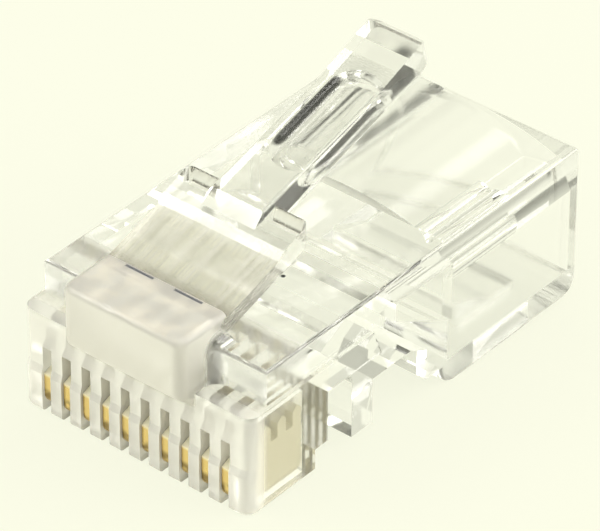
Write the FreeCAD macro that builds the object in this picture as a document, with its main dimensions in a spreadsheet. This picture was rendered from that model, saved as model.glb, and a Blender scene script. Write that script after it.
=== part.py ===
"""Ten position modular plug: clear housing with a sprung latch and ten contact blades.

X is the width, Y runs from the nose (negative) to the cable end (positive), Z is up with the latch on top.
The origin is under the middle of the plug, at the level of the cable end's underside.
Lengths along the plug are chained from the comb's front face. Depths are measured down from the main top face.
"""
import math
import os

import FreeCAD, Part
import Sketcher

# Two positions count as the same within this distance
NEAR = 1e-4

doc = FreeCAD.newDocument("modular_plug")
sheet = doc.addObject("Spreadsheet::Sheet", "dims")

SIZES = [
    # Whole plug
    ("overall_length", 21.54, "root block's front to cable end"),
    ("root_overhang", 0.72, "root block ahead of the comb's front"),
    ("body_width", 11.30, "main body across the sides"),
    ("nose_width", 11.68, "nose and side shelves across"),
    ("rear_height", 7.13, "main top above the cable end's underside"),
    ("nose_height", 6.28, "main top above the comb's tips"),
    # Nose
    ("ledge_setback", 0.10, "upper nose face behind the comb's front"),
    ("ledge_depth", 1.60, "nose ledge below the main top"),
    ("ledge_length", 1.18, "upper nose face to the riser of the main top"),
    ("comb_step_depth", 4.10, "top of the slope between upper face and comb"),
    ("comb_slope", 0.35, "height of that slope"),
    ("comb_length", 3.95, "underside of the comb"),
    ("heel_length", 0.76, "shallow heel behind the comb"),
    ("heel_depth", 5.20, "heel's underside"),
    ("nose_edge_radius", 0.20, "comb's lower front edge"),
    ("nose_corner_radius", 0.55, "nose's upright front corners"),
    ("shelf_length", 8.00, "side shelf behind the comb's front"),
    ("shelf_taper", 0.50, "run-out of the side shelf"),
    # Underside
    ("gap_length", 1.69, "gap between nose and clamp bar"),
    ("gap_depth", 2.83, "roof of that gap"),
    ("bar_length", 1.28, "conductor clamp bar"),
    ("bar_depth", 6.15, "clamp bar's underside"),
    ("notch_length", 2.37, "notch behind the clamp bar"),
    ("notch_depth", 4.05, "roof of the notch"),
    ("notch_ramp_length", 1.01, "slope at the notch's rear end"),
    ("notch_ramp_drop", 0.52, "fall of that slope"),
    ("leg_length", 0.94, "flat underside before the shoulder"),
    ("leg_depth", 6.05, "underside before the shoulder"),
    ("shoulder_radius", 1.00, "round front edge of the cable end's underside"),
    ("shoulder_share", 0.95, "largest share of the step that this round may take"),
    ("rear_corner_radius", 0.80, "lower rear edge"),
    ("rear_top_radius", 0.30, "upper rear edge"),
    ("top_edge_radius", 0.15, "front and side edges of the main top"),
    # Cable cavity and conductor channels
    ("cavity_wall", 0.95, "wall between the shoulder and the cable cavity"),
    ("cavity_width", 9.00, "cable cavity across"),
    ("cavity_floor", 0.76, "wall under the cable cavity"),
    ("vault_spring_depth", 2.36, "where the side walls meet the vault"),
    ("vault_crown_depth", 0.55, "highest line of the vault"),
    ("entry_depth", 4.30, "floor of the conductor entry at the cavity"),
    ("channel_diameter", 0.86, "conductor channel"),
    ("channel_depth", 1.95, "channel axis below the main top"),
    ("channel_start", 1.75, "blind end behind the comb's front"),
    ("channel_length", 7.65, "blind end to the conductor entry"),
    ("anchor_start", 1.97, "jacket anchor window ahead of the cable end"),
    ("anchor_length", 3.60, "jacket anchor window along the plug"),
    ("anchor_width", 6.40, "jacket anchor window across"),
    ("anchor_bar_length", 2.30, "jacket anchor bar along the plug"),
    ("anchor_rise", 1.30, "anchor bar's upper front edge above the underside"),
    ("anchor_web", 0.30, "thin web that holds the anchor bar"),
    ("anchor_gap", 0.35, "free gap round the anchor bar"),
    # Contacts
    ("position_count", 10, "contacts"),
    ("pitch", 1.016, "contact to contact"),
    ("blade_thickness", 0.40, "contact blade"),
    ("slot_clearance", 0.03, "room round the blade"),
    ("blade_setback", 0.12, "blade behind the comb's front"),
    ("blade_length", 3.48, "blade along the plug"),
    ("blade_depth", 6.00, "blade's lower edge before crimping"),
    ("blade_nose_radius", 0.55, "round contact edge"),
    ("blade_heel_radius", 0.30, "lower rear corner"),
    ("blade_step", 0.58, "upper front edge behind the contact edge"),
    ("blade_step_depth", 4.25, "foot of the upper front edge"),
    ("blade_step_slope", 0.20, "slope under the upper front edge"),
    ("blade_shoulder_depth", 3.35, "top of the upper front edge"),
    ("tine_count", 3, "piercing tines"),
    ("tine_pitch", 0.90, "tine to tine"),
    ("tine_width", 0.50, "one tine"),
    ("tine_point", 0.25, "height of the tine's point"),
    ("tine_tip_depth", 2.85, "tine tips before crimping"),
    ("tine_root_depth", 3.75, "gaps between tines"),
    ("window_depth", 3.28, "top of the slot's front opening"),
    ("crimp_travel", 0.50, "how far the crimping tool pushes the blades"),
    # Latch root and lever
    ("root_width", 6.10, "root block and lever across"),
    ("root_rise", 1.15, "root block above the main top"),
    ("root_depth", 1.53, "root block's lower front edge"),
    ("root_corner_radius", 0.55, "root block's upright front corners"),
    ("root_edge_radius", 0.30, "root block's upper front edge"),
    ("root_lip_radius", 0.35, "root block's lower front edge"),
    ("root_fillet", 0.70, "hollow between root block and main riser"),
    ("groove_inset", 0.53, "moulded groove on the root block from the middle plane"),
    ("groove_width", 1.41, "moulded groove across"),
    ("groove_length", 0.10, "moulded groove along the plug"),
    ("groove_land", 0.12, "land between groove and hinge line"),
    ("groove_depth", 0.12, "moulded groove"),
    ("hinge_setback", 2.05, "hinge line behind the comb's front"),
    ("hinge_rise", 0.58, "hinge line above the main top"),
    ("hinge_radius", 0.36, "round end of the lever"),
    ("hinge_gap", 0.04, "split at the living hinge"),
    ("ramp_length", 3.02, "lever's thin ramp"),
    ("ramp_rise", 0.89, "rise of the ramp"),
    ("band_length", 0.35, "bevel at the end of the ramp"),
    ("band_rise", 0.32, "rise of the bevel"),
    ("catch_length", 1.50, "lever behind the bevel, up to the catch faces"),
    ("catch_rise", 0.53, "rise of that stretch"),
    ("catch_corner_radius", 0.30, "upright rear corners of the catch"),
    ("underside_slope", 0.29, "rise of the lever's underside for each unit of length"),
    ("handle_width", 2.70, "finger handle across"),
    ("handle_setback", 0.16, "handle's bevel behind the lever's bevel"),
    ("handle_bevel_length", 0.64, "bevel at the front of the handle"),
    ("handle_bevel_rise", 0.66, "rise of that bevel"),
    ("handle_length", 6.91, "straight part of the handle"),
    ("handle_rise", 1.79, "rise of the straight part"),
    ("tip_length", 2.76, "upturned end of the handle"),
    ("tip_rise", 1.05, "rise of the upturned end"),
    ("tip_bevel", 0.38, "bevel along the end's upper edge"),
    ("tip_drop", 0.18, "fall of that bevel"),
    ("tip_overhang", 0.58, "end of the handle behind its top edge"),
    ("tip_lift", 0.45, "lower end edge above the straight underside"),
    ("tip_corner_radius", 0.40, "upright corners of the handle's end"),
    ("handle_edge_radius", 0.15, "handle's long upper edges"),
    ("hollow_radius", 2.00, "round hollow along the handle's underside"),
    ("hollow_depth", 0.44, "hollow above the straight underside"),
    ("hollow_front", 4.43, "hollow's first centre behind the handle's bevel"),
    ("hollow_length", 3.20, "hollow's first centre to its last"),
]

for row, (alias, value, note) in enumerate(SIZES, start=1):
    sheet.set(f"A{row}", note)
    sheet.set(f"B{row}", str(value))
    sheet.setAlias(f"B{row}", alias)
doc.recompute()


def size(expression):
    """Value of an expression over the sheet's aliases."""
    return float(sheet.evalExpression(expression))


def cells(text):
    """Turns plain alias words into references to the sheet."""
    names = {alias for alias, _, _ in SIZES}
    words = text.replace("(", "( ").replace(")", " )").split()
    return " ".join(f"dims.{word}" if word in names else word for word in words)


def along(text):
    """Position behind the comb's front, in the body's own frame."""
    return cells("root_overhang + " + text)


def below(text):
    """Height of a depth below the main top."""
    return cells("rear_height - ( " + text + " )")


def above(text):
    """Height of a rise above the main top."""
    return cells("rear_height + " + text)


def new_body(label):
    """Body whose own frame starts at the root block's front, placed so that the plug is centred."""
    body = doc.addObject("PartDesign::Body", label)
    body.Label = label
    body.setExpression(".Placement.Base.y", cells("0 - overall_length / 2"))
    return body


def new_sketch(body, name, role, offset=None):
    """Sketch on one of the body's origin planes, moved along the plane's normal."""
    plane = next(f for f in body.Origin.OriginFeatures if f.Role == role)
    sketch = body.newObject("Sketcher::SketchObject", name)
    sketch.AttachmentSupport = (plane, [""])
    sketch.MapMode = "FlatFace"
    if offset:
        sketch.setExpression(".AttachmentOffset.Base.z", offset)
    return sketch


def pin_point(sketch, geometry, end, point, tag):
    """Holds one sketch point at a pair of expressions."""
    for axis, kind, text in ((0, "DistanceX", point[0]), (1, "DistanceY", point[1])):
        name = f"{tag}_{kind[-1].lower()}"
        index = sketch.addConstraint(Sketcher.Constraint(kind, -1, 1, geometry, end, size(text)))
        sketch.renameConstraint(index, name)
        sketch.setExpression(f"Constraints.{name}", text)


def outline(sketch, points):
    """Closed outline of straight lines, each corner held by two expressions."""
    values = [FreeCAD.Vector(size(u), size(v), 0) for u, v in points]
    first = sketch.GeometryCount
    count = len(points)
    for i in range(count):
        sketch.addGeometry(Part.LineSegment(values[i], values[(i + 1) % count]))
    for i in range(count):
        sketch.addConstraint(Sketcher.Constraint("Coincident", first + i, 2, first + (i + 1) % count, 1))
    for i, point in enumerate(points):
        pin_point(sketch, first + i, 1, point, f"corner{first + i}")


def circle(sketch, centre, radius):
    """Circle held by its centre and radius."""
    place = FreeCAD.Vector(size(centre[0]), size(centre[1]), 0)
    index = sketch.addGeometry(Part.Circle(place, FreeCAD.Vector(0, 0, 1), size(radius)))
    pin_point(sketch, index, 3, centre, f"centre{index}")
    held = sketch.addConstraint(Sketcher.Constraint("Radius", index, size(radius)))
    sketch.renameConstraint(held, f"radius{index}")
    sketch.setExpression(f"Constraints.radius{index}", radius)


def pad_across(body, name, points, width):
    """Side outline padded evenly to both sides of the middle plane."""
    sketch = new_sketch(body, name + "_outline", "YZ_Plane")
    outline(sketch, points)
    pad = body.newObject("PartDesign::Pad", name)
    pad.Profile = sketch
    pad.SideType = "Symmetric"
    pad.setExpression("Length", width)
    doc.recompute()
    return pad


def cut_across(body, name, points, width):
    """Side outline cut evenly to both sides of the middle plane."""
    sketch = new_sketch(body, name + "_outline", "YZ_Plane")
    outline(sketch, points)
    pocket = body.newObject("PartDesign::Pocket", name)
    pocket.Profile = sketch
    pocket.SideType = "Symmetric"
    pocket.setExpression("Length", width)
    doc.recompute()
    return pocket


def repeat(body, name, feature):
    """Ten copies of a cut, one for each contact position."""
    pattern = body.newObject("PartDesign::LinearPattern", name)
    pattern.Originals = [feature]
    across = next(f for f in body.Origin.OriginFeatures if f.Role == "X_Axis")
    pattern.Direction = (across, [""])
    pattern.setExpression("Length", cells("pitch * ( position_count - 1 )"))
    pattern.setExpression("Occurrences", cells("position_count"))
    body.Tip = pattern
    doc.recompute()
    return pattern


def fillet(body, name, base, chosen, radius):
    """Rounds the edges of a feature that the chosen test picks out."""
    edges = [f"Edge{i}" for i, edge in enumerate(base.Shape.Edges, start=1) if chosen(edge)]
    feature = body.newObject("PartDesign::Fillet", name)
    feature.Base = (base, edges)
    feature.setExpression("Radius", radius)
    doc.recompute()
    return feature


def lies_on(edge, y=None, z=None, x=None):
    """True where the whole edge lies at the given coordinates of the body's frame."""
    box = edge.BoundBox
    wanted = ((x, box.XMin, box.XMax), (y, box.YMin, box.YMax), (z, box.ZMin, box.ZMax))
    return all(v is None or (abs(low - v) < NEAR and abs(high - v) < NEAR) for v, low, high in wanted)


def spans(edge, start, stop):
    """True where an edge runs from one station along the plug to another."""
    return abs(edge.BoundBox.YMin - start) < NEAR and abs(edge.BoundBox.YMax - stop) < NEAR


# Stations along the plug, each chained to the one before it
riser = "ledge_setback + ledge_length"
heel_end = "comb_length + heel_length"
bar_front = heel_end + " + gap_length"
bar_rear = bar_front + " + bar_length"
notch_end = bar_rear + " + notch_length"
leg_front = notch_end + " + notch_ramp_length"
shoulder = leg_front + " + leg_length"
cavity_front = shoulder + " + cavity_wall"
channel_end = "channel_start + channel_length"
cable_end = cells("overall_length")
first_contact = cells("0 - pitch * ( position_count - 1 ) / 2")

# Housing, main body: one side profile from the riser of the main top to the cable end
housing = new_body("housing")
body_profile = [
    (along(riser), above("0")),
    (along(riser), below("gap_depth")),
    (along(bar_front), below("gap_depth")),
    (along(bar_front), below("bar_depth")),
    (along(bar_rear), below("bar_depth")),
    (along(bar_rear), below("notch_depth")),
    (along(notch_end), below("notch_depth")),
    (along(leg_front), below("notch_depth + notch_ramp_drop")),
    (along(leg_front), below("leg_depth")),
    (along(shoulder), below("leg_depth")),
    (along(shoulder), cells("0")),
    (cable_end, cells("0")),
    (cable_end, above("0")),
]
main_pad = pad_across(housing, "main_body", body_profile, cells("body_width"))

# Housing, rounded edges of the cable end
shoulder_y = size(along(shoulder))
end_y = size(cable_end)
top_z = size(above("0"))
shoulder_limit = cells("min( shoulder_radius ; shoulder_share * ( rear_height - leg_depth ) )")
rounded = fillet(housing, "shoulder_round", main_pad, lambda e: lies_on(e, y=shoulder_y, z=0.0), shoulder_limit)
rounded = fillet(housing, "rear_round", rounded, lambda e: lies_on(e, y=end_y, z=0.0), cells("rear_corner_radius"))
rounded = fillet(housing, "rear_top_round", rounded, lambda e: lies_on(e, y=end_y, z=top_z), cells("rear_top_radius"))
riser_y = size(along(riser))
flank_x = size(cells("body_width / 2"))
rounded = fillet(
    housing, "top_edges", rounded,
    lambda e: lies_on(e, z=top_z) and (lies_on(e, y=riser_y) or lies_on(e, x=flank_x) or lies_on(e, x=-flank_x)),
    cells("top_edge_radius"),
)

# Housing, nose: the wider comb block with its ledge, heel and side shelves
nose_profile = [
    (along("ledge_setback"), below("ledge_depth")),
    (along("ledge_setback"), below("comb_step_depth")),
    (along("0"), below("comb_step_depth + comb_slope")),
    (along("0"), below("nose_height")),
    (along("comb_length"), below("nose_height")),
    (along("comb_length"), below("heel_depth")),
    (along(heel_end), below("heel_depth")),
    (along(heel_end), below("gap_depth")),
    (along("shelf_length"), below("gap_depth")),
    (along("shelf_length - shelf_taper"), below("ledge_depth")),
]
nose_pad = pad_across(housing, "nose", nose_profile, cells("nose_width"))
nose_y = size(along("0"))
nose_z = size(below("nose_height"))
ledge_y = size(along("ledge_setback"))
side_x = size(cells("nose_width / 2"))
rounded = fillet(
    housing, "nose_corners", nose_pad,
    lambda e: (lies_on(e, x=side_x) or lies_on(e, x=-side_x)) and e.BoundBox.YMax < ledge_y + NEAR,
    cells("nose_corner_radius"),
)
rounded = fillet(housing, "nose_round", rounded, lambda e: lies_on(e, y=nose_y, z=nose_z), cells("nose_edge_radius"))

# Housing, latch root block: overhangs the nose and ends at the living hinge
root_profile = [
    (cells("0"), above("root_rise")),
    (cells("0"), below("root_depth")),
    (along("ledge_setback"), below("root_depth + root_overhang")),
    (along(riser + " + ledge_setback"), below("root_depth + root_overhang")),
    (along("hinge_setback - hinge_gap"), above("0 - ledge_setback")),
    (along("hinge_setback - hinge_gap"), above("root_rise")),
]
root_pad = pad_across(housing, "latch_root", root_profile, cells("root_width"))
root_x = size(cells("root_width / 2"))
root_z = size(above("root_rise"))
rounded = fillet(
    housing, "root_corners", root_pad,
    lambda e: lies_on(e, y=0.0, x=root_x) or lies_on(e, y=0.0, x=-root_x),
    cells("root_corner_radius"),
)
rounded = fillet(
    housing, "root_hollows", rounded,
    lambda e: lies_on(e, y=riser_y, x=root_x) or lies_on(e, y=riser_y, x=-root_x),
    cells("root_fillet"),
)
rounded = fillet(housing, "root_edge", rounded, lambda e: lies_on(e, y=0.0, z=root_z), cells("root_edge_radius"))
lip_z = size(below("root_depth"))
rounded = fillet(housing, "root_lip", rounded, lambda e: lies_on(e, y=0.0, z=lip_z), cells("root_lip_radius"))

# Housing, two narrow moulded grooves on the root block, in front of the hinge
groove_sketch = new_sketch(housing, "groove_outline", "XY_Plane", above("root_rise"))
groove_rear = along("hinge_setback - groove_land")
groove_front = along("hinge_setback - groove_land - groove_length")
for inner, outer in (("groove_inset", "groove_inset + groove_width"),
                     ("0 - groove_inset - groove_width", "0 - groove_inset")):
    outline(groove_sketch, [
        (cells(inner), groove_front),
        (cells(outer), groove_front),
        (cells(outer), groove_rear),
        (cells(inner), groove_rear),
    ])
groove = housing.newObject("PartDesign::Pocket", "grooves")
groove.Profile = groove_sketch
groove.setExpression("Length", cells("groove_depth"))
doc.recompute()

# Housing, seat of the living hinge in the root block
seat_sketch = new_sketch(housing, "hinge_seat_outline", "YZ_Plane")
hinge_centre = (along("hinge_setback"), above("hinge_rise"))
circle(seat_sketch, hinge_centre, cells("hinge_radius + hinge_gap"))
seat = housing.newObject("PartDesign::Pocket", "hinge_seat")
seat.Profile = seat_sketch
seat.SideType = "Symmetric"
seat.setExpression("Length", cells("root_width * 2"))
doc.recompute()

# Housing, vaulted cable cavity, cut from the cable end up to the wall behind the notch
cavity_sketch = new_sketch(housing, "cable_cavity_outline", "XZ_Plane", cells("0 - overall_length"))
half_width = size(cells("cavity_width / 2"))
floor_z = size(cells("cavity_floor"))
spring_z = size(below("vault_spring_depth"))
crown_z = size(below("vault_crown_depth"))
corner = [
    FreeCAD.Vector(-half_width, spring_z, 0),
    FreeCAD.Vector(-half_width, floor_z, 0),
    FreeCAD.Vector(half_width, floor_z, 0),
    FreeCAD.Vector(half_width, spring_z, 0),
]
for start, stop in zip(corner[:-1], corner[1:]):
    cavity_sketch.addGeometry(Part.LineSegment(start, stop))
cavity_sketch.addGeometry(Part.Arc(corner[3], FreeCAD.Vector(0, crown_z, 0), corner[0]))
for i in range(2):
    cavity_sketch.addConstraint(Sketcher.Constraint("Coincident", i, 2, i + 1, 1))
cavity_sketch.addConstraint(Sketcher.Constraint("Coincident", 2, 2, 3, 1))
cavity_sketch.addConstraint(Sketcher.Constraint("Coincident", 3, 2, 0, 1))
vault_left = cells("0 - cavity_width / 2")
vault_right = cells("cavity_width / 2")
pin_point(cavity_sketch, 0, 1, (vault_left, below("vault_spring_depth")), "spring_left")
pin_point(cavity_sketch, 1, 1, (vault_left, cells("cavity_floor")), "floor_left")
pin_point(cavity_sketch, 2, 1, (vault_right, cells("cavity_floor")), "floor_right")
pin_point(cavity_sketch, 2, 2, (vault_right, below("vault_spring_depth")), "spring_right")
vault_rise = "( vault_spring_depth - vault_crown_depth )"
vault_radius = cells(f"( ( cavity_width / 2 ) ^ 2 + {vault_rise} ^ 2 ) / ( 2 * {vault_rise} )")
held = cavity_sketch.addConstraint(Sketcher.Constraint("Radius", 3, size(vault_radius)))
cavity_sketch.renameConstraint(held, "vault_radius")
cavity_sketch.setExpression("Constraints.vault_radius", vault_radius)
cavity = housing.newObject("PartDesign::Pocket", "cable_cavity")
cavity.Profile = cavity_sketch
cavity.Reversed = True
cavity.setExpression("Length", cells("overall_length") + " - (" + along(cavity_front) + ")")
doc.recompute()

# Housing, jacket anchor: a bar in a window of the floor, held by a thin web at the window's rear edge
window_rear = "overall_length - root_overhang - anchor_start"
window_front = window_rear + " - anchor_length"
window_profile = [
    (along(window_front), cells("0 - cavity_floor")),
    (along(window_rear), cells("0 - cavity_floor")),
    (along(window_rear), cells("2 * cavity_floor")),
    (along(window_front), cells("2 * cavity_floor")),
]
window = cut_across(housing, "anchor_window", window_profile, cells("anchor_width"))
anchor_front = window_front + " + anchor_gap"
anchor_profile = [
    (along(anchor_front), cells("0")),
    (along(anchor_front), cells("anchor_rise")),
    (along(anchor_front + " + anchor_bar_length"), cells("anchor_web")),
    (along(window_rear + " + anchor_gap"), cells("anchor_web")),
    (along(window_rear + " + anchor_gap"), cells("0")),
]
anchor = pad_across(housing, "jacket_anchor", anchor_profile, cells("anchor_width - 2 * anchor_gap"))

# Housing, conductor entry: the wedge that leads from the cavity down to the channels
entry_roof = below("channel_depth - channel_diameter / 2")
entry_profile = [
    (along(channel_end), entry_roof),
    (along(channel_end), below("channel_depth + channel_diameter / 2")),
    (along(cavity_front), below("entry_depth")),
    (along(cavity_front), entry_roof),
]
entry = cut_across(housing, "conductor_entry", entry_profile,
                   cells("pitch * ( position_count - 1 ) + channel_diameter"))

# Housing, conductor channels
channel_sketch = new_sketch(housing, "channel_outline", "XZ_Plane", cells("0 - ( ") + along(channel_end) + " )")
circle(channel_sketch, (first_contact, below("channel_depth")), cells("channel_diameter / 2"))
channel = housing.newObject("PartDesign::Pocket", "conductor_channel")
channel.Profile = channel_sketch
channel.setExpression("Length", cells("channel_length"))
doc.recompute()
channels = repeat(housing, "conductor_channels", channel)

# Housing, contact slots: open at the front of the comb and below, closed behind the blade
blade_rear = "blade_setback + blade_length"
slot_top = below("tine_tip_depth - crimp_travel - slot_clearance")
upper_front = "blade_setback + blade_step - slot_clearance"
slot_profile = [
    (along("0 - ledge_setback"), below("nose_height + ledge_setback")),
    (along(blade_rear + " + slot_clearance"), below("nose_height + ledge_setback")),
    (along(blade_rear + " + slot_clearance"), slot_top),
    (along(upper_front), slot_top),
    (along(upper_front), below("window_depth - crimp_travel")),
    (along("0 - ledge_setback"), below("window_depth")),
]
slot_sketch = new_sketch(housing, "slot_outline", "YZ_Plane", first_contact)
outline(slot_sketch, slot_profile)
slot = housing.newObject("PartDesign::Pocket", "contact_slot")
slot.Profile = slot_sketch
slot.SideType = "Symmetric"
slot.setExpression("Length", cells("blade_thickness + 2 * slot_clearance"))
doc.recompute()
slots = repeat(housing, "contact_slots", slot)

# Contacts: one stamped blade in each slot, with a round contact edge and three tines
tine_front = "blade_setback + blade_length - tine_pitch * ( tine_count - 1 ) - tine_width"


def blade_points():
    """Side outline of a blade, from the contact edge round to the last tine."""
    front = "blade_setback"
    points = [
        (along(front), below("blade_depth")),
        (along(blade_rear), below("blade_depth")),
    ]
    for i in reversed(range(int(size("dims.tine_count")))):
        start = f"{tine_front} + {i} * tine_pitch"
        points += [
            (along(start + " + tine_width"), below("tine_tip_depth + tine_point")),
            (along(start + " + tine_width / 2"), below("tine_tip_depth")),
            (along(start), below("tine_tip_depth + tine_point")),
        ]
        if i:
            points += [
                (along(start), below("tine_root_depth")),
                (along(start + " - tine_pitch + tine_width"), below("tine_root_depth")),
            ]
    points += [
        (along(tine_front), below("blade_shoulder_depth")),
        (along(front + " + blade_step"), below("blade_shoulder_depth")),
        (along(front + " + blade_step"), below("blade_step_depth")),
        (along(front), below("blade_step_depth + blade_step_slope")),
    ]
    return points


def make_contact(number):
    """One contact blade at its place in the row."""
    contact = new_body(f"contact_{number:02d}")
    contact.setExpression(".Placement.Base.x", first_contact + cells(f" + {number - 1} * pitch"))
    blade = pad_across(contact, f"blade_{number:02d}", blade_points(), cells("blade_thickness"))
    front_y = size(along("blade_setback"))
    rear_y = size(along(blade_rear))
    low_z = size(below("blade_depth"))
    nose = fillet(contact, f"contact_edge_{number:02d}", blade, lambda e: lies_on(e, y=front_y, z=low_z),
                  cells("blade_nose_radius"))
    fillet(contact, f"heel_{number:02d}", nose, lambda e: lies_on(e, y=rear_y, z=low_z), cells("blade_heel_radius"))
    return contact


contacts = [make_contact(number + 1) for number in range(int(size("dims.position_count")))]

# Latch lever: thin ramp, bevel and catch shoulders, with the finger handle on top
latch = new_body("latch_lever")
ramp_end = "hinge_setback + ramp_length"
band_end = ramp_end + " + band_length"
catch_end = band_end + " + catch_length"
ramp_top = "hinge_rise + hinge_radius"
ramp_high = ramp_top + " + ramp_rise"
band_high = ramp_high + " + band_rise"
underside = "hinge_rise - hinge_radius"


def under(run):
    """Height of the lever's straight underside at a distance behind the hinge."""
    return above(underside + f" + underside_slope * ( {run} )")


tongue_profile = [
    (along("hinge_setback"), above(ramp_top)),
    (along("hinge_setback"), above(underside)),
    (along(catch_end), under("ramp_length + band_length + catch_length")),
    (along(catch_end), above(band_high + " + catch_rise")),
    (along(band_end), above(band_high)),
    (along(ramp_end), above(ramp_high)),
]
tongue = pad_across(latch, "tongue", tongue_profile, cells("root_width"))

knuckle_sketch = new_sketch(latch, "hinge_round_outline", "YZ_Plane")
circle(knuckle_sketch, hinge_centre, cells("hinge_radius"))
knuckle = latch.newObject("PartDesign::Pad", "hinge_round")
knuckle.Profile = knuckle_sketch
knuckle.SideType = "Symmetric"
knuckle.setExpression("Length", cells("root_width"))
doc.recompute()

handle_front = band_end + " + handle_setback"
handle_top = handle_front + " + handle_bevel_length"
kink = handle_top + " + handle_length"
tip = kink + " + tip_length"
handle_low = band_high
handle_high = handle_low + " + handle_bevel_rise"
kink_high = handle_high + " + handle_rise"
tip_high = kink_high + " + tip_rise"


front_run = "ramp_length + band_length + handle_setback"
tip_run = front_run + " + handle_bevel_length + handle_length + tip_length"
handle_profile = [
    (along(handle_front), under(front_run)),
    (along(tip), under(tip_run)),
    (along(tip + " + tip_overhang"), under(tip_run) + cells(" + tip_lift")),
    (along(tip + " + tip_bevel"), above(tip_high + " - tip_drop")),
    (along(tip), above(tip_high)),
    (along(kink), above(kink_high)),
    (along(handle_top), above(handle_high)),
    (along(handle_front), above(handle_low)),
]
handle = pad_across(latch, "handle", handle_profile, cells("handle_width"))

# Latch lever, round-ended hollow along the handle's underside, turned about its own axis
lean = cells("atan( underside_slope )")
reach = cells("hollow_radius")
first_run = front_run + " + handle_bevel_length + hollow_front"
last_run = first_run + " + hollow_length"


def hollow_point(run, ahead, out):
    """Point beside the hollow's axis: ahead along it, and out from it towards the handle's top."""
    y = along("hinge_setback + " + run)
    z = under(run) + cells(f" - ( hollow_radius - hollow_depth ) / cos( {lean} )")
    return (f"{y} + {ahead} * cos( {lean} ) - {out} * sin( {lean} )",
            f"{z} + {ahead} * sin( {lean} ) + {out} * cos( {lean} )")


hollow_corners = [
    hollow_point(first_run, f"( 0 - {reach} )", "0"),
    hollow_point(last_run, reach, "0"),
    hollow_point(last_run, "0", reach),
    hollow_point(first_run, "0", reach),
]
hollow_centres = [hollow_point(first_run, "0", "0"), hollow_point(last_run, "0", "0")]
front_low, rear_low, rear_high, front_high, front_centre, rear_centre = [
    FreeCAD.Vector(size(u), size(v), 0) for u, v in hollow_corners + hollow_centres
]
tilt = math.radians(size(lean))
upright = tilt + math.pi / 2
upward = FreeCAD.Vector(0, 0, 1)
hollow_sketch = new_sketch(latch, "grip_hollow_outline", "YZ_Plane")
hollow_sketch.addGeometry(Part.LineSegment(front_low, rear_low))
hollow_sketch.addGeometry(Part.ArcOfCircle(Part.Circle(rear_centre, upward, size(reach)), tilt, upright))
hollow_sketch.addGeometry(Part.LineSegment(rear_high, front_high))
hollow_sketch.addGeometry(Part.ArcOfCircle(Part.Circle(front_centre, upward, size(reach)), upright, tilt + math.pi))
for i in range(len(hollow_corners)):
    hollow_sketch.addConstraint(Sketcher.Constraint("Coincident", i, 2, (i + 1) % len(hollow_corners), 1))
    pin_point(hollow_sketch, i, 1, hollow_corners[i], f"corner{i}")
for i in (1, 3):
    held = hollow_sketch.addConstraint(Sketcher.Constraint("Radius", i, size(reach)))
    hollow_sketch.renameConstraint(held, f"radius{i}")
    hollow_sketch.setExpression(f"Constraints.radius{i}", reach)
hollow = latch.newObject("PartDesign::Groove", "grip_hollow")
hollow.Profile = hollow_sketch
hollow.ReferenceAxis = (hollow_sketch, ["Edge1"])
hollow.Angle = 360
doc.recompute()

# Latch lever, rounded corners and long edges
lever_x = size(cells("root_width / 2"))
grip_x = size(cells("handle_width / 2"))
catch_y = size(along(catch_end))
grip_y = size(along(handle_top))
kink_y = size(along(kink))
crest_y = size(along(tip))
bevel_y = size(along(tip + " + tip_bevel"))
tip_y = size(along(tip + " + tip_overhang"))


def on_grip_side(edge):
    """True for an edge that lies in one of the handle's flanks."""
    return lies_on(edge, x=grip_x) or lies_on(edge, x=-grip_x)


rounded = fillet(
    latch, "catch_corners", hollow,
    lambda e: lies_on(e, x=lever_x, y=catch_y) or lies_on(e, x=-lever_x, y=catch_y),
    cells("catch_corner_radius"),
)
rounded = fillet(
    latch, "tip_corners", rounded,
    lambda e: on_grip_side(e) and spans(e, bevel_y, tip_y),
    cells("tip_corner_radius"),
)
fillet(
    latch, "handle_edges", rounded,
    lambda e: on_grip_side(e) and (spans(e, grip_y, kink_y) or spans(e, kink_y, crest_y)),
    cells("handle_edge_radius"),
)

# Finished shapes are checked, then written one file to a node
doc.recompute()
for item in doc.Objects:
    if "Invalid" in item.State or "Error" in item.State:
        raise RuntimeError(f"{item.Name} failed: {item.State}")

nodes = [housing, latch] + contacts
os.makedirs("parts", exist_ok=True)
for node in nodes:
    shape = node.Shape
    if shape.isNull() or not shape.isValid() or len(shape.Solids) != 1:
        raise RuntimeError(f"{node.Label} is not one valid solid")
for node in nodes:
    node.Shape.exportStep(f"parts/{node.Label}.step")
    print(node.Label, round(node.Shape.Volume, 3), node.Shape.BoundBox)
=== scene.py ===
"""Dressed model of a ten position modular plug: clear moulding, gold blades, high-key studio light."""
import math

import bpy
from mathutils import Matrix, Vector

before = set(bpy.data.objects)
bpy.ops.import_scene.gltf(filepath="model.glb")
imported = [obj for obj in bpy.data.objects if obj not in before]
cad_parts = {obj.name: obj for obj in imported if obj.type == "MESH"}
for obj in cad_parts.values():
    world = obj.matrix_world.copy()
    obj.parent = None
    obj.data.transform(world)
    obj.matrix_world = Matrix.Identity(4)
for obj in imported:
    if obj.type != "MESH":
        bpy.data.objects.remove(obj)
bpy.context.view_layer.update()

scene = bpy.context.scene
scene.view_settings.view_transform = "Standard"


# Table top: the plain cream sheet that the plug lies on. The plug tips forward
# until the comb's lower edge and the rounded shoulder under the cable end touch it.
MM = 0.001
CREAM = (0.955, 0.965, 0.800, 1.0)
NOSE_TOUCH = Vector((0.0, -9.85, 0.85)) * MM
SHOULDER_TOUCH = Vector((0.0, 2.95, 0.0)) * MM
SHEET_REACH = 0.6
SHEET_GLOW = 0.88


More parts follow.
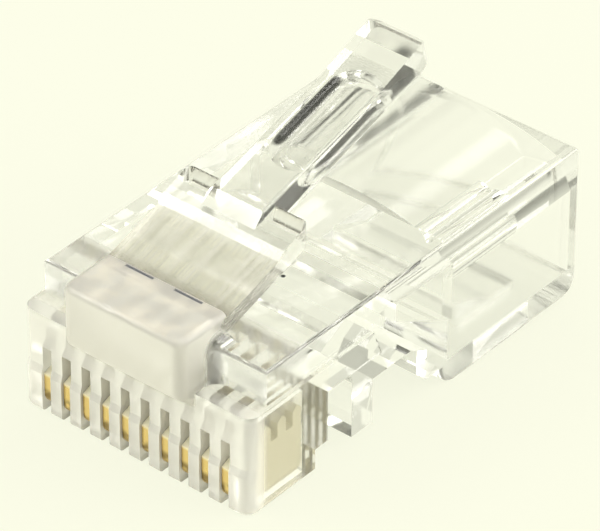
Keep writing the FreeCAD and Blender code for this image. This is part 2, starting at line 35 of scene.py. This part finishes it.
def combine(tree, operation, first, second):
    """Two values or sockets put together by one step of arithmetic."""
    node = tree.nodes.new("ShaderNodeMath")
    node.operation = operation
    for place, item in enumerate((first, second)):
        if isinstance(item, (int, float)):
            node.inputs[place].default_value = item
        else:
            tree.links.new(item, node.inputs[place])
    return node.outputs[0]


def shown_to_eye_and_glass(tree):
    """1 for rays of the camera, of mirrors and of clear plastic, 0 for the light that falls on surfaces."""
    path = tree.nodes.new("ShaderNodeLightPath")
    mirrored = combine(tree, "MAXIMUM", path.outputs["Is Camera Ray"], path.outputs["Is Glossy Ray"])
    return combine(tree, "MAXIMUM", mirrored, path.outputs["Is Transmission Ray"])


def sheet_material():
    """Matt cream paper that shows the eye an even glow and keeps a trace of the plug's shadow."""
    material = bpy.data.materials.new("cream_sheet")
    material.use_nodes = True
    tree = material.node_tree
    tree.nodes.clear()
    out = tree.nodes.new("ShaderNodeOutputMaterial")
    paper = tree.nodes.new("ShaderNodeBsdfDiffuse")
    paper.inputs["Color"].default_value = CREAM
    glow = tree.nodes.new("ShaderNodeEmission")
    glow.inputs["Color"].default_value = CREAM
    mixed = tree.nodes.new("ShaderNodeMixShader")
    glowing = combine(tree, "MULTIPLY", shown_to_eye_and_glass(tree), SHEET_GLOW)
    tree.links.new(glowing, mixed.inputs["Fac"])
    tree.links.new(paper.outputs[0], mixed.inputs[1])
    tree.links.new(glow.outputs[0], mixed.inputs[2])
    tree.links.new(mixed.outputs[0], out.inputs["Surface"])
    return material


slope = (SHOULDER_TOUCH - NOSE_TOUCH).normalized()
sheet_mesh = bpy.data.meshes.new("cream_sheet")
sheet_mesh.from_pydata(
    [Vector((x, 0, 0)) + SHOULDER_TOUCH + slope * y
     for x, y in ((-SHEET_REACH, -SHEET_REACH), (SHEET_REACH, -SHEET_REACH),
                  (SHEET_REACH, SHEET_REACH), (-SHEET_REACH, SHEET_REACH))],
    [], [(0, 1, 2, 3)])
sheet_mesh.materials.append(sheet_material())
sheet = bpy.data.objects.new("cream_sheet", sheet_mesh)
scene.collection.objects.link(sheet)


# Studio: a pale surround with one dark corner of the room at the left, which the clear plastic
# mirrors as its dark lines, and a patch of pale wall within it. One soft lamp stands
# at the left front and a larger one at the right rear.
DARK_CORNER, DARK_CORE, DARK_EDGE = Vector((-0.68, 0.33, 0.58)), math.radians(27), math.radians(42)
PALE_WALL, WALL_CORE, WALL_EDGE = Vector((-0.43, 0.63, 0.645)), math.radians(8), math.radians(13)
WALL_PALENESS = 0.72
DARK_TONE = (0.03, 0.03, 0.025, 1.0)
FILL_TONE = (1.0, 0.985, 0.91, 1.0)
FILL_STRENGTH = 0.95
AIM = Vector((0.0, -0.05, 4.13)) * MM
LAMP_DISTANCE = 0.22
LAMP_TONE = (1.0, 0.98, 0.95)
KEY_TOWARDS, KEY_SIZE, KEY_WATTS = (-0.515, -0.534, 0.671), (0.10, 0.035), 0.07
REAR_TOWARDS, REAR_SIZE, REAR_WATTS = (0.69, 0.62, 0.40), (0.20, 0.14), 0.30


def ramp(tree, value, low, high, at_low, at_high):
    """Smooth step of a value from one limit to the other."""
    node = tree.nodes.new("ShaderNodeMapRange")
    node.interpolation_type = "SMOOTHSTEP"
    for name, number in (("From Min", low), ("From Max", high), ("To Min", at_low), ("To Max", at_high)):
        node.inputs[name].default_value = number
    tree.links.new(value, node.inputs["Value"])
    return node.outputs["Result"]


def blend_tone(tree, share, first, second):
    """Colour between two, by a share; each is a colour or a socket."""
    node = tree.nodes.new("ShaderNodeMix")
    node.data_type = "RGBA"
    tree.links.new(share, node.inputs["Factor"])
    for socket, item in ((node.inputs["A"], first), (node.inputs["B"], second)):
        if isinstance(item, tuple):
            socket.default_value = item
        else:
            tree.links.new(item, socket)
    return node.outputs["Result"]


def nearness(tree, where, direction, core, edge):
    """1 for the directions near a given one, 0 for those past the edge angle."""
    node = tree.nodes.new("ShaderNodeVectorMath")
    node.operation = "DOT_PRODUCT"
    node.inputs[1].default_value = direction.normalized()
    tree.links.new(where.outputs["Generated"], node.inputs[0])
    return ramp(tree, node.outputs["Value"], math.cos(edge), math.cos(core), 0.0, 1.0)


world = bpy.data.worlds.new("studio")
scene.world = world
world.use_nodes = True
tree = world.node_tree
tree.nodes.clear()
out = tree.nodes.new("ShaderNodeOutputWorld")
where = tree.nodes.new("ShaderNodeTexCoord")
wall = combine(tree, "MULTIPLY", nearness(tree, where, PALE_WALL, WALL_CORE, WALL_EDGE), WALL_PALENESS)
dark = combine(tree, "MULTIPLY", nearness(tree, where, DARK_CORNER, DARK_CORE, DARK_EDGE),
               combine(tree, "SUBTRACT", 1.0, wall))
seen = tree.nodes.new("ShaderNodeBackground")
tree.links.new(blend_tone(tree, dark, CREAM, DARK_TONE), seen.inputs["Color"])
fill = tree.nodes.new("ShaderNodeBackground")
fill.inputs["Color"].default_value = FILL_TONE
fill.inputs["Strength"].default_value = FILL_STRENGTH
mixed = tree.nodes.new("ShaderNodeMixShader")
tree.links.new(shown_to_eye_and_glass(tree), mixed.inputs["Fac"])
tree.links.new(fill.outputs[0], mixed.inputs[1])
tree.links.new(seen.outputs[0], mixed.inputs[2])
tree.links.new(mixed.outputs[0], out.inputs["Surface"])


def softbox(name, towards, size, watts, through_plastic):
    """One flat lamp that faces the plug; through_plastic lets it be seen inside the clear moulding."""
    lamp = bpy.data.lights.new(name, "AREA")
    lamp.shape = "RECTANGLE"
    lamp.size, lamp.size_y = size
    lamp.energy = watts
    lamp.color = LAMP_TONE
    holder = bpy.data.objects.new(name, lamp)
    direction = Vector(towards).normalized()
    holder.location = AIM + direction * LAMP_DISTANCE
    holder.rotation_mode = "QUATERNION"
    holder.rotation_quaternion = (-direction).to_track_quat("-Z", "Y")
    holder.visible_transmission = through_plastic
    scene.collection.objects.link(holder)


softbox("key_lamp", KEY_TOWARDS, KEY_SIZE, KEY_WATTS, False)
softbox("rear_lamp", REAR_TOWARDS, REAR_SIZE, REAR_WATTS, True)


# Camera: a long lens at the photograph's angle. The lens is shifted by
# the few pixels by which the plug stands off the middle of the frame.
AZIMUTH, ELEVATION, ROLL = math.radians(39.70), math.radians(36.26), math.radians(0.18)
DISTANCE = 206.6 * MM
FRAME_WIDTH, FOCAL, SHIFT_RIGHT, SHIFT_UP = 600, 5204, 0.6, 9.8
SENSOR = 36.0
NEAR_LIMIT, FAR_LIMIT = 0.01, 5.0
CLEAR_BOUNCES, MIRROR_BOUNCES = 32, 16

forward = Vector((-math.sin(AZIMUTH) * math.cos(ELEVATION),
                  math.cos(AZIMUTH) * math.cos(ELEVATION), -math.sin(ELEVATION)))
level = Vector((math.cos(AZIMUTH), math.sin(AZIMUTH), 0.0))
upright = level.cross(forward)
right = level * math.cos(ROLL) + upright * math.sin(ROLL)
above = upright * math.cos(ROLL) - level * math.sin(ROLL)
lens = bpy.data.cameras.new("camera")
lens.sensor_fit = "HORIZONTAL"
lens.sensor_width = SENSOR
lens.lens = SENSOR * FOCAL / FRAME_WIDTH
lens.shift_x = SHIFT_RIGHT / FRAME_WIDTH
lens.shift_y = SHIFT_UP / FRAME_WIDTH
lens.clip_start, lens.clip_end = NEAR_LIMIT, FAR_LIMIT
camera = bpy.data.objects.new("camera", lens)
turn = Matrix((right, above, -forward)).transposed().to_4x4()
camera.matrix_world = Matrix.Translation(AIM - forward * DISTANCE) @ turn
scene.collection.objects.link(camera)
scene.camera = camera
scene.cycles.max_bounces = CLEAR_BOUNCES
scene.cycles.transmission_bounces = CLEAR_BOUNCES
scene.cycles.glossy_bounces = MIRROR_BOUNCES


# Housing: one injection moulding of clear polycarbonate. Its flats are polished, the comb's front
# is milky, the vault of the cable cavity is satin, and the latch root is frosted, with shade painted
# into both groove cuts at its rear edge. One speck of dirt lies on the main top. Zones are in millimetres.
POLYCARBONATE_IOR = 1.585
CLEAR_TONE = (0.993, 0.993, 0.985, 1.0)
NOSE_TONE, SKIN_TONE = (0.990, 0.975, 0.930, 1.0), (0.96, 0.95, 0.93, 1.0)
ROOT_TONE, TAN_TONE = (0.80, 0.78, 0.73, 1.0), (0.90, 0.86, 0.76, 1.0)
# Groove tone: painted shade in the two groove cuts on the root; speck tone: a speck of dirt.
GROOVE_SHADE_TONE, SPECK_TONE = (0.36, 0.37, 0.42, 1.0), (0.02, 0.02, 0.02, 1.0)

MILKY_NOSE = ((-6.0, 6.0), (-12.0, -5.3), (0.0, 5.58))
COMB_SKIN = ((-6.0, 6.0), (-12.0, -9.10), (0.0, 5.58))
FROSTED_ROOT = ((-3.08, 3.08), (-12.0, -8.0), (4.9, 9.0))
SATIN_RISER = ((-6.0, 6.0), (-9.6, -6.4), (4.9, 7.3))
SATIN_VAULT = ((-3.6, 3.6), (2.85, 10.7), (0.70, 6.70))
SATIN_WALLS = ((-5.3, 5.3), (2.85, 10.7), (0.0, 4.60))
ROOT_TOP = ((-3.3, 3.3), (-12.0, -7.9), (8.2, 9.0))
GROOVE_STARTS, GROOVE_LENGTH = (-1.94, 0.53), 1.41
GROOVE_SHADE_ZONES = [((start, start + GROOVE_LENGTH), (-8.24, -8.10), (8.10, 8.30)) for start in GROOVE_STARTS]
SPECK, SPECK_RADIUS, SPECK_CORE = (2.16, -3.64, 7.13), 0.11, 0.7
EDGE_FADE, SKIN_FADE, RISER_FADE, GROOVE_FADE = 0.08, 0.30, 0.25, 0.03

FLAT_ROUGHNESS, NOSE_ROUGHNESS, SKIN_ROUGHNESS = 0.05, 0.10, 0.25
RISER_ROUGHNESS, ROOT_ROUGHNESS, VAULT_ROUGHNESS = 0.18, 0.40, 0.14
NOSE_MILK, SKIN_MILK, RISER_MILK, ROOT_MILK = 0.02, 0.50, 0.12, 0.52
MOTTLE_MILK, SCRATCH_MILK, GROOVE_SHADE_MILK = 0.16, 0.20, 0.8
POLISH_SCALE, POLISH_DETAIL = 700.0, 3.0
MOTTLE_SCALE, MOTTLE_DETAIL, MOTTLE_LOW, MOTTLE_HIGH = 1100.0, 4.0, 0.35, 0.70
SCRATCH_SCALE, SCRATCH_DETAIL, SCRATCH_LOW, SCRATCH_HIGH = 900.0, 5.0, 0.60, 0.72
SCRATCH_STRETCH = (0.25, 4.0, 1.0)


def zone(tree, axes, limits, fade=EDGE_FADE):
    """1 inside a box given in millimetres along X, Y and Z, 0 outside, over a soft edge."""
    inside = 1.0
    for axis, (low, high) in zip("XYZ", limits):
        rising = ramp(tree, axes.outputs[axis], (low - fade) * MM, (low + fade) * MM, 0.0, 1.0)
        falling = ramp(tree, axes.outputs[axis], (high - fade) * MM, (high + fade) * MM, 1.0, 0.0)
        inside = combine(tree, "MULTIPLY", inside, combine(tree, "MULTIPLY", rising, falling))
    return inside


def noise(tree, place, scale, detail, stretch=(1.0, 1.0, 1.0)):
    """Noise over the piece's own coordinates, drawn out along the axes with a small stretch."""
    mapping = tree.nodes.new("ShaderNodeMapping")
    mapping.inputs["Scale"].default_value = stretch
    tree.links.new(place.outputs["Object"], mapping.inputs["Vector"])
    node = tree.nodes.new("ShaderNodeTexNoise")
    node.inputs["Scale"].default_value = scale
    node.inputs["Detail"].default_value = detail
    tree.links.new(mapping.outputs[0], node.inputs["Vector"])
    return node.outputs["Fac"]


def new_finish(name):
    """New material with its shader, the piece's own coordinates and their split axes."""
    material = bpy.data.materials.new(name)
    material.use_nodes = True
    tree = material.node_tree
    place = tree.nodes.new("ShaderNodeTexCoord")
    axes = tree.nodes.new("ShaderNodeSeparateXYZ")
    tree.links.new(place.outputs["Object"], axes.inputs[0])
    return material, tree, tree.nodes["Principled BSDF"], place, axes


def housing_plastic():
    """Clear polycarbonate with the frosted, milky and satin zones of this moulding."""
    material, tree, shader, place, axes = new_finish("clear_moulding")
    shader.inputs["IOR"].default_value = POLYCARBONATE_IOR
    nose = zone(tree, axes, MILKY_NOSE)
    root = zone(tree, axes, FROSTED_ROOT)
    skin = zone(tree, axes, COMB_SKIN, SKIN_FADE)
    riser = zone(tree, axes, SATIN_RISER, RISER_FADE)
    vault = combine(tree, "MAXIMUM", zone(tree, axes, SATIN_VAULT), zone(tree, axes, SATIN_WALLS))
    root_top = zone(tree, axes, ROOT_TOP)
    groove_shade = combine(tree, "ADD", *(zone(tree, axes, groove, GROOVE_FADE) for groove in GROOVE_SHADE_ZONES))
    mottle = ramp(tree, noise(tree, place, MOTTLE_SCALE, MOTTLE_DETAIL), MOTTLE_LOW, MOTTLE_HIGH, 0.0, 1.0)
    drawn = noise(tree, place, SCRATCH_SCALE, SCRATCH_DETAIL, SCRATCH_STRETCH)
    scratch = ramp(tree, drawn, SCRATCH_LOW, SCRATCH_HIGH, 0.0, 1.0)
    gap = tree.nodes.new("ShaderNodeVectorMath")
    gap.operation = "DISTANCE"
    gap.inputs[1].default_value = Vector(SPECK) * MM
    tree.links.new(place.outputs["Object"], gap.inputs[0])
    speck = ramp(tree, gap.outputs["Value"], SPECK_CORE * SPECK_RADIUS * MM, SPECK_RADIUS * MM, 1.0, 0.0)

    rough = combine(tree, "MULTIPLY", noise(tree, place, POLISH_SCALE, POLISH_DETAIL), FLAT_ROUGHNESS)
    for share, amount in ((nose, NOSE_ROUGHNESS), (skin, SKIN_ROUGHNESS), (riser, RISER_ROUGHNESS),
                          (root, ROOT_ROUGHNESS), (vault, VAULT_ROUGHNESS)):
        rough = combine(tree, "MAXIMUM", rough, combine(tree, "MULTIPLY", share, amount))
    tree.links.new(rough, shader.inputs["Roughness"])

    milk = combine(tree, "MULTIPLY", nose, NOSE_MILK)
    for share, amount in ((skin, SKIN_MILK), (riser, RISER_MILK), (root, ROOT_MILK)):
        milk = combine(tree, "MAXIMUM", milk, combine(tree, "MULTIPLY", share, amount))
    marks = combine(tree, "ADD", combine(tree, "MULTIPLY", mottle, MOTTLE_MILK),
                    combine(tree, "MULTIPLY", scratch, SCRATCH_MILK))
    milk = combine(tree, "ADD", milk, combine(tree, "MULTIPLY", root_top, marks))
    # Painted shade: the groove cuts are made nearly opaque so that their dark tone shows.
    milk = combine(tree, "MAXIMUM", milk, combine(tree, "MULTIPLY", groove_shade, GROOVE_SHADE_MILK))
    milk = combine(tree, "MAXIMUM", milk, speck)
    tree.links.new(combine(tree, "SUBTRACT", 1.0, milk), shader.inputs["Transmission Weight"])

    tone = blend_tone(tree, nose, CLEAR_TONE, NOSE_TONE)
    tanned = combine(tree, "MULTIPLY", root_top, mottle)
    # The groove tone is painted shade in the groove cuts; the speck is real dirt.
    for share, tint in ((skin, SKIN_TONE), (root, ROOT_TONE), (tanned, TAN_TONE),
                        (groove_shade, GROOVE_SHADE_TONE), (speck, SPECK_TONE)):
        tone = blend_tone(tree, share, tone, tint)
    tree.links.new(tone, shader.inputs["Base Color"])
    return material


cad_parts["housing"].material_slots[0].material = housing_plastic()


# Latch lever: the same clear plastic, moulded in one with the root block. Its thin ramp
# carries the lengthwise tool marks of the mould, and the hollow grip fine marks across.
RAMP = ((-3.2, 3.2), (-8.5, -4.75), (7.0, 9.6))
CATCHES = ((-3.3, 3.3), (-4.75, -2.60), (7.0, 9.8))
GRIP_HOLLOW = ((-1.25, 1.25), (-0.8, 5.2), (8.0, 11.15))
GRIP_END = ((-3.0, 3.0), (5.3, 9.0), (8.0, 13.0))
RAMP_FADE, CATCH_FADE, HOLLOW_FADE, END_FADE = 0.25, 0.25, 0.1, 0.3
RAMP_TONE = (0.95, 0.93, 0.87, 1.0)
LEVER_ROUGHNESS = 0.05
RAMP_ADDED, CATCH_ADDED, HOLLOW_ADDED, END_ADDED = 0.16, 0.05, 0.12, 0.12
LENGTHWISE_SCALE, LENGTHWISE_DETAIL, LENGTHWISE_STRETCH = 4200.0, 4.0, (1.0, 0.03, 0.03)
ACROSS_SCALE, ACROSS_DETAIL, ACROSS_STRETCH = 5000.0, 3.0, (0.03, 1.0, 1.0)
STREAK_LOW, STREAK_HIGH, STREAK_HAZE = 0.42, 0.62, 0.24
MARK_STRENGTH, MARK_DEPTH = 0.25, 0.02 * MM


def lever_plastic():
    """Clear polycarbonate with a streaky ramp, satin catches and a finely marked grip."""
    material, tree, shader, place, axes = new_finish("clear_lever")
    shader.inputs["IOR"].default_value = POLYCARBONATE_IOR
    tongue = zone(tree, axes, RAMP, RAMP_FADE)
    catches = zone(tree, axes, CATCHES, CATCH_FADE)
    hollow = zone(tree, axes, GRIP_HOLLOW, HOLLOW_FADE)
    end = zone(tree, axes, GRIP_END, END_FADE)
    lengthwise = noise(tree, place, LENGTHWISE_SCALE, LENGTHWISE_DETAIL, LENGTHWISE_STRETCH)
    across = noise(tree, place, ACROSS_SCALE, ACROSS_DETAIL, ACROSS_STRETCH)
    tree.links.new(blend_tone(tree, tongue, CLEAR_TONE, RAMP_TONE), shader.inputs["Base Color"])

    rough = combine(tree, "MULTIPLY", lengthwise, LEVER_ROUGHNESS)
    for share, amount in ((tongue, RAMP_ADDED), (catches, CATCH_ADDED),
                          (hollow, HOLLOW_ADDED), (end, END_ADDED)):
        rough = combine(tree, "ADD", rough, combine(tree, "MULTIPLY", share, amount))
    tree.links.new(rough, shader.inputs["Roughness"])

    streaks = ramp(tree, lengthwise, STREAK_LOW, STREAK_HIGH, 0.0, STREAK_HAZE)
    haze = combine(tree, "MULTIPLY", tongue, streaks)
    tree.links.new(combine(tree, "SUBTRACT", 1.0, haze), shader.inputs["Transmission Weight"])

    marks = combine(tree, "ADD", combine(tree, "MULTIPLY", tongue, lengthwise),
                    combine(tree, "MULTIPLY", hollow, across))
    bump = tree.nodes.new("ShaderNodeBump")
    bump.inputs["Strength"].default_value = MARK_STRENGTH
    bump.inputs["Distance"].default_value = MARK_DEPTH
    tree.links.new(marks, bump.inputs["Height"])
    tree.links.new(bump.outputs[0], shader.inputs["Normal"])
    return material


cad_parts["latch_lever"].material_slots[0].material = lever_plastic()


# Contacts: ten stamped blades of phosphor bronze under dull nickel, pressed into the comb. The
# lower front edge that meets the jack's springs is gold plated, with brown painted shade low down.
CONTACT_COUNT = 10
GILT_EDGE, GILT_FADE = ((-6.0, 6.0), (-12.0, -9.2), (1.25, 2.62)), 0.12
# Band and brown tone of painted shade on the lower part of the gold edge.
GOLD_SHADE_BAND, GOLD_SHADE_FADE = ((-6.0, 6.0), (-12.0, -9.2), (1.50, 1.90)), 0.15
NICKEL, GOLD, SHADE_BROWN = (1.0, 0.95, 0.74, 1.0), (0.86, 0.64, 0.25, 1.0), (0.26, 0.18, 0.07, 1.0)
NICKEL_METALLIC, GOLD_METALLIC = 0.20, 1.0
GRAIN_SCALE, GRAIN_DETAIL, GRAIN_STRETCH = 2500.0, 3.0, (1.0, 1.0, 0.08)
GRAIN_LOW, GRAIN_HIGH, SMOOTH_GRAIN, COARSE_GRAIN = 0.3, 0.7, 0.24, 0.36
NICKEL_ADDED = 0.16
SPOT_SCALE, SPOT_DETAIL, SPOT_LOW, SPOT_HIGH, SPOT_SHARE = 1800.0, 2.0, 0.30, 0.52, 0.90


def plated_blade():
    """Dull nickel that turns to gold on the front edge, with brown painted shade mottled low on the gold.
    """
    material, tree, shader, place, axes = new_finish("gold_over_nickel")
    gilt = zone(tree, axes, GILT_EDGE, GILT_FADE)
    grain = noise(tree, place, GRAIN_SCALE, GRAIN_DETAIL, GRAIN_STRETCH)
    dull = combine(tree, "ADD", ramp(tree, grain, GRAIN_LOW, GRAIN_HIGH, SMOOTH_GRAIN, COARSE_GRAIN),
                   ramp(tree, gilt, 0.0, 1.0, NICKEL_ADDED, 0.0))
    tree.links.new(dull, shader.inputs["Roughness"])
    metallic = ramp(tree, gilt, 0.0, 1.0, NICKEL_METALLIC, GOLD_METALLIC)
    tree.links.new(metallic, shader.inputs["Metallic"])
    # Painted shade: a brown mottle darkens the lower part of the gold band, where its rounded corner is in
    # shade.
    shade_spots = ramp(tree, noise(tree, place, SPOT_SCALE, SPOT_DETAIL), SPOT_LOW, SPOT_HIGH, 0.0, SPOT_SHARE)
    painted_shade = combine(tree, "MULTIPLY", zone(tree, axes, GOLD_SHADE_BAND, GOLD_SHADE_FADE), shade_spots)
    gilded = blend_tone(tree, gilt, NICKEL, GOLD)
    tree.links.new(blend_tone(tree, painted_shade, gilded, SHADE_BROWN), shader.inputs["Base Color"])
    return material


plating = plated_blade()
for number in range(1, CONTACT_COUNT + 1):
    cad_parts[f"contact_{number:02d}"].material_slots[0].material = plating
